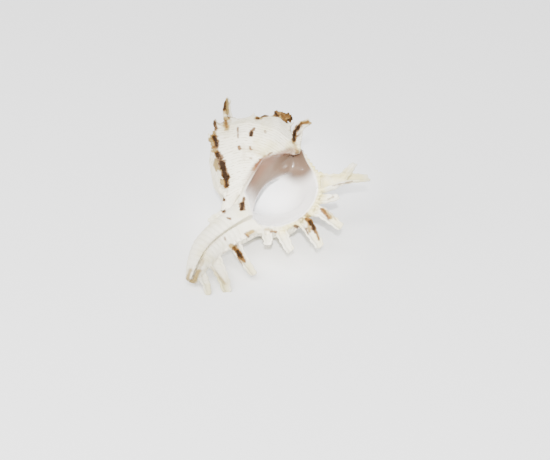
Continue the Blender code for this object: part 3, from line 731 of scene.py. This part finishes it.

# Streaks where they show in the photograph: the pixels of both ends, how far the mark reaches to the side in
# pixels, and how strong it is
APEX_PIXEL = (283.0, 113.0)
PIXELS_PER_MM = 2.48
VIEW_RIGHT = (0.886, -0.298, 0.355)
VIEW_UP = (-0.464, -0.570, 0.679)
VIEW_BACK = (0.0, -0.766, -0.643)
VIEW_START = 200.0           # mm in front of the shell
STREAK_SOFTNESS = 1.25        # a streak is at full strength up to this less 1, against its reach
STREAK_DEPTHS = (2.5, 5.0)    # how far in front of or behind its place a streak still reaches, in mm
STREAK_FACING = (0.0, 0.35)   # how far a surface may face away from the viewer
STREAK_UNEVEN = 0.55
STREAK_LUMP = 1.5
STREAK_GRAIN = 0.6
BROWN_AND_SHADE_STREAKS = [
    (215, 137, 217, 146, 3.2, 1.0), (218.5, 154, 221.5, 163, 3.8, 0.95), (221.5, 163, 226, 176, 4.4, 1.1),
    (226, 176, 227, 185, 3.0, 1.0), (213.5, 121, 216, 128, 2.6, 0.8), (219, 118, 222, 117, 2.4, 0.7),
    (226, 121, 226.5, 127, 2.2, 0.5), (224.5, 98, 224, 109, 2.4, 0.75), (229, 94, 229.5, 96, 2.2, 0.55),
    (258, 118, 262, 115.3, 2.4, 0.85), (262, 115.3, 267, 113.5, 2.4, 0.8), (251.6, 135, 252, 132, 2.4, 1.0),
    (253.5, 130, 254.5, 128.5, 2.0, 0.6), (239, 147, 239.5, 148.5, 2.2, 0.65),
    (250.3, 148, 251, 149.5, 2.2, 0.5),
    (238, 128, 238.3, 137, 1.8, 0.45), (265, 131, 265.4, 133, 2.0, 0.4), (250, 158, 252, 159, 2.0, 0.45),
    (257.5, 166, 263, 160, 2.8, 0.8), (269, 154.5, 272, 153, 2.2, 0.5), (275, 111.8, 277.5, 115, 2.6, 0.9),
    (286, 111, 291, 113, 3.0, 0.7), (291.5, 115, 292, 119, 2.8, 0.85), (283, 119, 287, 120, 2.4, 0.55),
    (294, 140, 294.8, 132, 2.6, 0.95), (294.8, 132, 298, 126.5, 2.8, 1.05), (298, 126.5, 302, 123, 2.6, 0.85),
    (302, 123, 308, 121.5, 2.2, 0.5), (242.6, 208.4, 242.8, 204, 3.2, 1.1), (243, 204, 244.5, 198, 2.2, 0.75),
    # Painted shade: the two streaks on the next line are the shadowed gutters of two small spines, painted dark
    # brown
    (218, 196.2, 224, 199.5, 2.3, 0.9), (219, 205, 224.5, 210.5, 2.5, 1.0),
    (228.5, 217.5, 231, 218.5, 2.0, 0.55),
    (226, 237, 226.5, 239, 2.4, 0.4), (245.5, 233, 249, 236, 1.8, 0.5), (271, 231, 276, 231.5, 2.2, 0.5),
    (295, 225.5, 297.5, 226.5, 2.4, 0.75), (306, 218.5, 310, 222, 2.4, 0.7), (310, 221, 313.5, 228, 3.0, 1.0),
    (313.5, 228, 315, 232, 2.2, 0.6), (305.5, 229, 307.5, 233, 1.8, 0.45), (316, 232, 318.5, 239, 1.8, 0.5),
    (321, 209, 324.5, 212.5, 2.4, 0.65), (324.5, 212.5, 328, 218, 2.6, 0.5), (330, 213, 335, 219, 1.8, 0.35),
    (234.5, 247, 238, 250, 2.6, 0.65), (238, 250, 242.5, 256, 2.8, 1.0), (242.5, 256, 246, 260, 1.8, 0.5),
    (239.5, 257, 243, 264, 1.8, 0.45), (328, 199, 333, 197, 2.0, 0.4), (332, 186, 352, 181.5, 1.5, 0.4),
]
TAN_STREAKS = [
    (213, 131, 213, 150, 4.5, 0.8), (213, 150, 217, 165, 6.0, 0.85), (217, 165, 224, 180, 6.0, 0.85),
    (224, 180, 226, 186, 4.0, 0.6), (226, 98, 226.5, 112, 3.6, 0.7), (217, 120, 228, 118, 4.0, 0.6),
    (225.5, 122, 227, 128, 3.6, 0.6), (277, 113, 291, 117, 7.0, 1.0), (257, 118, 268, 114.5, 3.6, 0.6),
    (255, 169, 266, 158, 4.0, 0.55), (250, 150, 262, 155, 5.0, 0.26), (244, 145, 244, 158, 4.0, 0.22),
    (204.5, 259, 200.5, 269, 3.6, 0.40), (200.5, 269, 197, 277, 4.6, 0.60), (193, 268, 189.5, 277, 3.4, 0.50),
    (195.5, 279, 191, 282, 4.0, 0.65),
    (232, 245, 238, 249, 3.4, 0.75), (238, 249, 244, 259, 3.4, 0.6), (213, 265, 226, 281, 2.4, 0.35),
    (306, 214, 312, 222, 3.6, 0.7), (308, 222, 309, 231, 2.6, 0.5), (314, 226, 318, 238, 2.4, 0.4),
    (323, 209, 330, 217, 3.2, 0.55), (293.5, 142, 295, 134, 3.2, 0.65), (302, 122, 310, 121.5, 3.0, 0.6),
    (295, 146, 298, 153, 3.4, 0.45), (248, 233, 253, 231, 3.0, 0.6), (266, 229, 272, 229, 2.4, 0.4),
]
CREAM_STREAKS = [
    (326, 185, 326, 206, 8.0, 0.9), (336, 176, 360, 178, 8.0, 0.85), (212, 268, 226, 289, 6.0, 0.75),
    (212, 284, 212, 292, 6.0, 0.7), (333, 216, 339, 225, 6.0, 0.6), (317, 236, 321, 244, 5.0, 0.5),
    (250, 265, 255, 271, 5.0, 0.5), (290, 146, 300, 150, 6.0, 0.65), (258, 148, 266, 152, 7.0, 0.4),
    (204, 252, 208, 258, 7.0, 0.5), (308, 170, 312, 174, 6.0, 0.4), (270, 144, 276, 146, 6.0, 0.3),
    (276, 231, 284, 233, 5.0, 0.4),
]

points, facing = read_points(shell)
angle, run, away = on_whorl(points)
inside_away = nearest(hollow_tree, points)[1]
glaze = 1 - eased(*GLAZE_EDGE, inside_away)
outside = 1 - glaze
whorled = (1 - eased(*WHORL_EDGE, away)) * outside
whorled = whorled * eased(*THREADS_START, run) * (1 - eased(*THREADS_END, run))
crests = np.array(varix_angles())
past = angle[:, None] - crests[None, :]
past = past[np.arange(len(angle)), np.abs(past).argmin(axis=1)]
in_front = 1 - eased(BLOTCH_CREST[0] * BLOTCH_FRONT, BLOTCH_FRONT, past)
behind = 1 - eased(BLOTCH_CREST[1], BLOTCH_BACK, -past)
blotch = np.where(past > 0, in_front, behind)
between_ribs = 1 - np.clip(sum(hump(run, where, BLOTCH_RIB) for where in RIBS), 0, 1)
brown = blotch * (BLOTCH_ON_RIB + (1 - BLOTCH_ON_RIB) * between_ribs)
brown = brown * eased(*BLOTCH_START, run) * (1 - eased(*BLOTCH_END, run)) * outside
brown = brown * (1 - eased(*LIP_CLEAR, angle))
brown = brown * (1 - (1 - SEEN_SHARE) * eased(*SEEN_EDGE, facing @ np.array(VIEW_BACK)))
worn = 1 - eased(*WORN_BROWN, angle)
brown = np.maximum(brown, worn * WORN_STRENGTH)
for path, widths, face, amount in frond_marks:
    gap, share, line = near_path(points, path)
    half = np.interp(share, np.linspace(0, 1, len(widths)), widths) / 2
    off = points - line
    deep = off @ np.asarray(face)
    across = np.sqrt(np.maximum(gap ** 2 - deep ** 2, 0))
    ring = np.sqrt((across / half) ** 2 + (deep / (half * FROND_DEPTH)) ** 2)
    gutter = (1 - eased(GUTTER_CORE, GUTTER_EDGE, ring)) * (facing @ np.asarray(face) > GUTTER_FACING)
    fading = eased(*GUTTER_START, share) * (1 - eased(*GUTTER_FADE, share))
    brown = np.maximum(brown, amount * gutter * fading)
lip_gap, lip_share = near_path(points, lip_points)[:2]
pink = (1 - eased(PINK_CORE * PINK_REACH, PINK_REACH, lip_gap)) * (1 - eased(*PINK_END, lip_share))
# Painted shade: the glazed wall under the inner lip, in its shadow, is painted beige-brown
parietal_painted_shade = glaze * (1 - eased(*PARIETAL_REACH, lip_gap)) * (1 - eased(*PARIETAL_END, lip_share))
skin_tree = BVHTree.FromObject(shell, bpy.context.evaluated_depsgraph_get())
uneven = 1 + STREAK_UNEVEN * (roughly(points, STREAK_LUMP, 8) + 0.5 * roughly(points, STREAK_GRAIN, 9))


def depth_seen(x, y):
    """Depth along the view at which the ray of this pixel meets the skin, or None beside it."""
    across = (x - APEX_PIXEL[0]) / PIXELS_PER_MM
    down = (y - APEX_PIXEL[1]) / PIXELS_PER_MM
    start = Vector(VIEW_RIGHT) * across - Vector(VIEW_UP) * down + Vector(VIEW_BACK) * VIEW_START
    hit = skin_tree.ray_cast(start, -Vector(VIEW_BACK))[0]
    return None if hit is None else hit.dot(Vector(VIEW_BACK))


def streak_marks(streaks):
    """How strongly each point of the skin is marked, for streaks given by where they show: stains, and for two
    brown ones painted shade.
    """
    amount = np.zeros(len(points))
    across = APEX_PIXEL[0] + PIXELS_PER_MM * (points @ np.array(VIEW_RIGHT))
    down = APEX_PIXEL[1] - PIXELS_PER_MM * (points @ np.array(VIEW_UP))
    depth = points @ np.array(VIEW_BACK)
    seen = 1 - eased(*STREAK_FACING, -(facing @ np.array(VIEW_BACK)))
    for x, y, end_x, end_y, reach, strength in streaks:
        depths = [depth_seen(x, y), depth_seen(end_x, end_y)]
        if depths == [None, None]:
            continue
        first, last = [depths[1 - k] if d is None else d for k, d in enumerate(depths)]
        way = np.array([end_x - x, end_y - y], float)
        share = np.clip(((across - x) * way[0] + (down - y) * way[1]) / way.dot(way), 0, 1)
        gap = np.hypot(across - x - share * way[0], down - y - share * way[1]) / reach * uneven
        deeper = np.abs(depth - first - share * (last - first))
        near = seen * (1 - eased(*STREAK_DEPTHS, deeper))
        amount = np.maximum(amount, strength * near * np.clip(STREAK_SOFTNESS - gap, 0, 1))
    return amount


# The brown streaks are stains, except two that are painted shade in small gutters
brown = np.maximum(brown, streak_marks(BROWN_AND_SHADE_STREAKS))
on_stump = 1 - eased(*STUMP_EDGE, near_path(points, stump_points)[0])
brown = np.maximum(brown, on_stump * (STUMP_BROWN + 0.5 * roughly(points, STUMP_PATCHES, 6)))
slot_gap = near_path(points, slot_points)[0]
on_slot = SLOT_TAN * (1 - eased(*SLOT_EDGE, slot_gap)) * eased(*SLOT_TAN_FROM, -points[:, 2])
tan = np.maximum(np.maximum(streak_marks(TAN_STREAKS), STUMP_TAN * on_stump), on_slot)
cream = hump(angle, 0, LIP_CREAM_DEGREES) * (1 - eased(*LIP_CREAM_NEAR, away))
cream = cream * eased(*LIP_CREAM_START, run) * (1 - eased(*LIP_CREAM_END, run)) * outside
cream = np.maximum(cream, streak_marks(CREAM_STREAKS))
azimuth = np.degrees(np.arctan2(points[:, 1], points[:, 0]))
depth_in = (LIP_AZIMUTH - azimuth - MOUTH_AHEAD) % 360 - (360 - MOUTH_AHEAD)
# Painted light: the glaze is painted whiter the deeper it lies in the mouth
mouth_painted_light = (1 - eased(*PAINTED_LIGHT_DEGREES, depth_in)) * glaze


def mark(name, values):
    """Keeps one number for each point of the skin under a name that the finish reads."""
    layer = shell.data.attributes.new(name, "FLOAT", "POINT")
    layer.data.foreach_set("value", np.asarray(values, np.float32))


mark("growth", angle / GROWTH_UNIT)
mark("run", run)
mark("whorled", whorled)
mark("glaze", glaze)
mark("brown", brown)
mark("tan_stain", tan)
mark("cream", cream)
mark("pink", pink * np.clip(outside + PINK_ON_GLAZE, 0, 1))
mark("mouth_painted_light", mouth_painted_light)
mark("parietal_painted_shade", parietal_painted_shade)


# Lying down
# The shell lies on its back on four worn points: two spines of the varix there, a lump and a spine of the
# canal.
DOWN_AZIMUTH = 63.7
CANAL_DROP = 19.6
APEX = (-12.8, 48.0, 37.5)
MILLIMETRE = 0.001
TIP_REACH = 0.003            # the outermost stretch of the tips, which is drawn in to the modelled size
BOX_MARGIN = 0.00002
WELD_GAP = 1e-7

down_to_x = Matrix.Rotation(math.radians(-DOWN_AZIMUTH), 4, "Z")
on_back = Matrix(((0, -1, 0, 0), (0, 0, 1, 0), (-1, 0, 0, 0), (0, 0, 0, 1)))
drop = Matrix.Rotation(math.radians(CANAL_DROP), 4, "X")
shell.data.transform(Matrix.Scale(MILLIMETRE, 4) @ Matrix.Translation(APEX) @ drop @ on_back @ down_to_x)
bpy.ops.object.select_all(action="DESELECT")
shell.select_set(True)
bpy.context.view_layer.objects.active = shell
bpy.ops.object.mode_set(mode="EDIT")
bpy.ops.mesh.select_all(action="SELECT")
bpy.ops.mesh.bisect(plane_co=(0, 0, 0), plane_no=(0, 0, 1), use_fill=True, clear_inner=True,
                    threshold=WELD_GAP)
bpy.ops.object.mode_set(mode="OBJECT")
where = read_points(shell)[0]
for axis in range(3):
    low, high = cad_box[0][axis] + BOX_MARGIN, cad_box[1][axis] - BOX_MARGIN
    column = where[:, axis]
    if column.max() > high:
        past = np.clip((column - high + TIP_REACH) / (column.max() - high + TIP_REACH), 0, 1)
        column = np.where(column > high - TIP_REACH, high - TIP_REACH + past * TIP_REACH, column)
    if axis < 2 and column.min() < low:
        past = np.clip((low + TIP_REACH - column) / (low + TIP_REACH - column.min()), 0, 1)
        column = np.where(column < low + TIP_REACH, low + TIP_REACH - past * TIP_REACH, column)
    where[:, axis] = column
where[:, 2] = np.maximum(where[:, 2], 0)
shell.data.vertices.foreach_set("co", where.ravel())
shell.data.update()
bpy.ops.object.select_all(action="DESELECT")
shell.select_set(True)
bpy.context.view_layer.objects.active = shell
bpy.ops.object.shade_smooth()
for cutter in (hollow_cutter, slot_cutter):
    bpy.data.objects.remove(cutter)
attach(shell, "root")
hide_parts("shell")


# The finish of the lime
# Chalky white outside with tan threads, brown blotches and dirt, and a smooth glossy glaze inside the mouth,
# with painted light deep in the mouth and painted shade under the inner lip and in two small gutters.
CHALK = (0.74, 0.70, 0.57, 1.0)
CHALK_SHADE = (0.62, 0.57, 0.39, 1.0)
THREAD_TAN = (0.27, 0.20, 0.09, 1.0)
BLOTCH_AND_SHADE_DARK = (0.016, 0.0065, 0.002, 1.0)
BLOTCH_AND_SHADE_TAN = (0.135, 0.060, 0.014, 1.0)
STAIN_TAN = (0.26, 0.175, 0.050, 1.0)
LIP_CREAM = (0.60, 0.52, 0.19, 1.0)
GLAZE_WHITE = (0.84, 0.80, 0.75, 1.0)
# Painted light: the whiter, bluish glaze deep in the mouth
GLAZE_PAINTED_LIGHT = (0.94, 0.945, 0.96, 1.0)
# Painted shade of the wall under the inner lip
PARIETAL_PAINTED_SHADE = (0.14, 0.092, 0.063, 1.0)
LIP_PINK = (0.14, 0.058, 0.030, 1.0)
CLOUDS = 90.0                # how many patches of noise there are to a metre
SPECKS = 900.0
BLOTCHES = 420.0
SHADE_FROM = (0.45, 0.75)
THREAD_CREST = (0.35, 1.0)   # part of a thread's wave that is tan
THREAD_DASHES = 1.3
DASHES_FROM = (0.42, 0.64)
THREAD_STRENGTH = 0.7
CREAM_STRENGTH = 0.75
TAN_UNEVEN = 0.5
TAN_FROM = (0.08, 0.55)
TAN_STRENGTH = 0.95
BROWN_UNEVEN = 0.5
BROWN_FROM = (0.16, 0.50)
BROWN_STRENGTH = 0.92
DARK_UNEVEN = 1.6
DARK_FROM = (0.45, 0.95)
DARK_STRENGTH = 0.96
PINK_STRENGTH = 0.8
GLAZE_ROUGHNESS = 0.20
CHALK_ROUGHER = 0.42
ROUGHNESS_SPECKS = 0.12
CHALK_SHEEN = 0.12
GLAZE_SHINIER = 0.38
GROWTH_LINES = (7.0, 0.12, 1.0)
BUMP_STRENGTH = 0.5
BUMP_HEIGHT = 0.00012

lime = bpy.data.materials.new("shell_lime")
lime.use_nodes = True
tree = lime.node_tree
surface = tree.nodes["Principled BSDF"]


def put(kind, values=(), **settings):
    """A node with its settings, and its inputs given as numbers, colours or the outputs that feed them."""
    node = tree.nodes.new(kind)
    for name, value in settings.items():
        setattr(node, name, value)
    for name, value in dict(values).items():
        if isinstance(value, bpy.types.NodeSocket):
            tree.links.new(value, node.inputs[name])
        else:
            node.inputs[name].default_value = value
    return node


def marked(name):
    """The number marked at each point under this name."""
    return put("ShaderNodeAttribute", attribute_name=name).outputs["Fac"]


def sum_of(kind, a, b=0.0, clamp=False):
    """One step of arithmetic."""
    return put("ShaderNodeMath", {0: a, 1: b}, operation=kind, use_clamp=clamp).outputs[0]


def speckle(vector, scale, detail=3.0, rough=0.55):
    """Noise from 0 to 1."""
    node = put("ShaderNodeTexNoise", {"Vector": vector, "Scale": scale, "Detail": detail, "Roughness": rough})
    return node.outputs["Fac"]


def ramp(value, low, high):
    """Goes smoothly from 0 at low to 1 at high."""
    limits = {"Value": value, "From Min": low, "From Max": high}
    node = put("ShaderNodeMapRange", limits, interpolation_type="SMOOTHSTEP")
    return node.outputs["Result"]


def blended(share, under, over):
    """The second colour laid over the first by this share."""
    node = put("ShaderNodeMix", data_type="RGBA")
    for index, value in ((0, share), (6, under), (7, over)):
        if isinstance(value, bpy.types.NodeSocket):
            tree.links.new(value, node.inputs[index])
        else:
            node.inputs[index].default_value = value
    return node.outputs[2]


def shown(share, strength):
    """A share, at this strength."""
    return sum_of("MULTIPLY", share, strength)


def roughened(share, texture, amount):
    """A share made uneven by this much of a noise."""
    return sum_of("ADD", share, shown(sum_of("SUBTRACT", texture, 0.5), amount))


place = put("ShaderNodeTexCoord").outputs["Object"]
grown_place = put("ShaderNodeCombineXYZ", {"X": marked("growth"), "Y": marked("run")}).outputs[0]
outside_share = sum_of("SUBTRACT", 1.0, marked("glaze"))

clouds = speckle(place, CLOUDS)
grain = speckle(place, SPECKS, 4.0)
colour = blended(ramp(clouds, *SHADE_FROM), CHALK, CHALK_SHADE)

thread_wave = sum_of("COSINE", shown(marked("run"), 2 * math.pi / THREAD_STEP))
thread_dots = speckle(grown_place, THREAD_DASHES, 2.0)
threads_shown = sum_of("MULTIPLY", ramp(thread_wave, *THREAD_CREST), ramp(thread_dots, *DASHES_FROM))
threads_shown = sum_of("MULTIPLY", threads_shown, marked("whorled"))
colour = blended(shown(threads_shown, THREAD_STRENGTH), colour, THREAD_TAN)
colour = blended(shown(marked("cream"), CREAM_STRENGTH), colour, LIP_CREAM)
tan_edge = roughened(marked("tan_stain"), clouds, TAN_UNEVEN)
colour = blended(shown(ramp(tan_edge, *TAN_FROM), TAN_STRENGTH), colour, STAIN_TAN)

# The brown marks hold real blotches and stains, and the painted shade of two small gutters
blotch_noise = speckle(place, BLOTCHES, 4.0, 0.7)
brown_edge = roughened(marked("brown"), blotch_noise, BROWN_UNEVEN)
colour = blended(shown(ramp(brown_edge, *BROWN_FROM), BROWN_STRENGTH), colour, BLOTCH_AND_SHADE_TAN)
dark_edge = roughened(marked("brown"), blotch_noise, DARK_UNEVEN)
colour = blended(shown(ramp(dark_edge, *DARK_FROM), DARK_STRENGTH), colour, BLOTCH_AND_SHADE_DARK)

# Painted light: the glaze gets whiter deeper in the mouth
inner = blended(marked("mouth_painted_light"), GLAZE_WHITE, GLAZE_PAINTED_LIGHT)
# Painted shade on the wall under the inner lip
inner = blended(marked("parietal_painted_shade"), inner, PARIETAL_PAINTED_SHADE)
colour = blended(marked("glaze"), colour, inner)
colour = blended(shown(marked("pink"), PINK_STRENGTH), colour, LIP_PINK)
tree.links.new(colour, surface.inputs["Base Color"])

roughness = sum_of("ADD", shown(outside_share, CHALK_ROUGHER), GLAZE_ROUGHNESS)
tree.links.new(roughened(roughness, grain, ROUGHNESS_SPECKS), surface.inputs["Roughness"])
sheen = sum_of("ADD", shown(marked("glaze"), GLAZE_SHINIER), CHALK_SHEEN)
tree.links.new(sheen, surface.inputs["Specular IOR Level"])

stretched = put("ShaderNodeVectorMath", {0: grown_place, 1: GROWTH_LINES}, operation="MULTIPLY").outputs[0]
growth_lines = speckle(stretched, 1.0, 4.0, 0.6)
rough_height = shown(sum_of("ADD", growth_lines, shown(grain, 0.5)), outside_share)
bump_inputs = {"Strength": BUMP_STRENGTH, "Distance": BUMP_HEIGHT, "Height": rough_height}
tree.links.new(put("ShaderNodeBump", bump_inputs).outputs["Normal"], surface.inputs["Normal"])
shell.data.materials.clear()
shell.data.materials.append(lime)


# The floor
# A pale matt sheet, so large that its edge never shows beside the shell.
FLOOR_SIZE = 16.0
FLOOR_GAP = 0.00005
FLOOR_WHITE = (0.96, 0.96, 0.96, 1.0)
FLOOR_ROUGHNESS = 0.9

bpy.ops.object.select_all(action="DESELECT")
bpy.ops.mesh.primitive_plane_add(size=FLOOR_SIZE, location=(0, 0, -FLOOR_GAP))
floor = bpy.context.object
floor.name = "floor"
sheet = bpy.data.materials.new("pale_sheet")
sheet.use_nodes = True
sheet_surface = sheet.node_tree.nodes["Principled BSDF"]
sheet_surface.inputs["Base Color"].default_value = FLOOR_WHITE
sheet_surface.inputs["Roughness"].default_value = FLOOR_ROUGHNESS
floor.data.materials.append(sheet)


# The light and the camera
# A bright soft light from above the camera, a weaker one from the left, a soft pool of light on the mouth,
# and a white room around.
KEY_PLACE = (0.16, -0.74, 0.86)
KEY_SIZE = 0.7
KEY_WATTS = 25.0
FILL_PLACE = (-0.55, -0.60, 0.60)
FILL_SIZE = 0.9
FILL_WATTS = 8.0
MOUTH_LAMP_PLACE = (0.39, -0.95, 0.62)
MOUTH_LAMP_WATTS = 520.0
MOUTH_LAMP_RADIUS = 0.03
MOUTH_LAMP_DEGREES = 2.4
MOUTH_MIDDLE = (0.0008, 0.0125, 0.0159)
ROOM_LIGHT = 1.25
ROOM_WHITE = (1.0, 1.0, 1.0, 1.0)
AZIMUTH = 22.1               # the photograph's viewing angle
ELEVATION = 25.55
LOOKED_AT = (-0.0005, 0.0136, 0.0192)
LOOKED_AT_PIXEL = (279.0, 193.0)
FRAME_PIXELS = (550.0, 460.0)
PIXEL = MILLIMETRE / PIXELS_PER_MM   # the size of a pixel at the shell
CAMERA_DISTANCE = 1.4
SENSOR_WIDTH = 36.0          # mm
CLIP_START = 0.05
CLIP_END = 50.0


def towards_light(place, target):
    """The turn of a lamp at this place that faces the target."""
    return (Vector(place) - Vector(target)).to_track_quat("Z", "Y").to_euler()


def soft_light(name, place, size, watts):
    """A square lamp that faces the shell."""
    bpy.ops.object.light_add(type="AREA", location=place)
    lamp = bpy.context.object
    lamp.name = name
    lamp.data.size = size
    lamp.data.energy = watts
    lamp.rotation_euler = towards_light(place, LOOKED_AT)


soft_light("key_light", KEY_PLACE, KEY_SIZE, KEY_WATTS)
soft_light("fill_light", FILL_PLACE, FILL_SIZE, FILL_WATTS)
bpy.ops.object.light_add(type="SPOT", location=MOUTH_LAMP_PLACE)
mouth_lamp = bpy.context.object
mouth_lamp.name = "mouth_light"
mouth_lamp.data.energy = MOUTH_LAMP_WATTS
mouth_lamp.data.spot_size = math.radians(MOUTH_LAMP_DEGREES)
mouth_lamp.data.spot_blend = 1.0
mouth_lamp.data.shadow_soft_size = MOUTH_LAMP_RADIUS
mouth_lamp.rotation_euler = towards_light(MOUTH_LAMP_PLACE, MOUTH_MIDDLE)
room = bpy.data.worlds.new("room")
room.use_nodes = True
room.node_tree.nodes["Background"].inputs["Color"].default_value = ROOM_WHITE
room.node_tree.nodes["Background"].inputs["Strength"].default_value = ROOM_LIGHT
bpy.context.scene.world = room

azimuth = math.radians(AZIMUTH)
elevation = math.radians(ELEVATION)
level = math.cos(elevation)
back = Vector((math.sin(azimuth) * level, -math.cos(azimuth) * level, math.sin(elevation)))
left = (FRAME_PIXELS[0] / 2 - LOOKED_AT_PIXEL[0]) * PIXEL / CAMERA_DISTANCE
up = (FRAME_PIXELS[1] / 2 - LOOKED_AT_PIXEL[1]) * PIXEL / CAMERA_DISTANCE
bpy.ops.object.camera_add(location=Vector(LOOKED_AT) + back * CAMERA_DISTANCE)
camera = bpy.context.object
camera.rotation_euler = (math.radians(90) - elevation - up, 0, azimuth - left / level)
camera.data.sensor_width = SENSOR_WIDTH
camera.data.lens = CAMERA_DISTANCE / PIXEL * SENSOR_WIDTH / FRAME_PIXELS[0]
camera.data.clip_start = CLIP_START
camera.data.clip_end = CLIP_END
bpy.context.scene.camera = camera
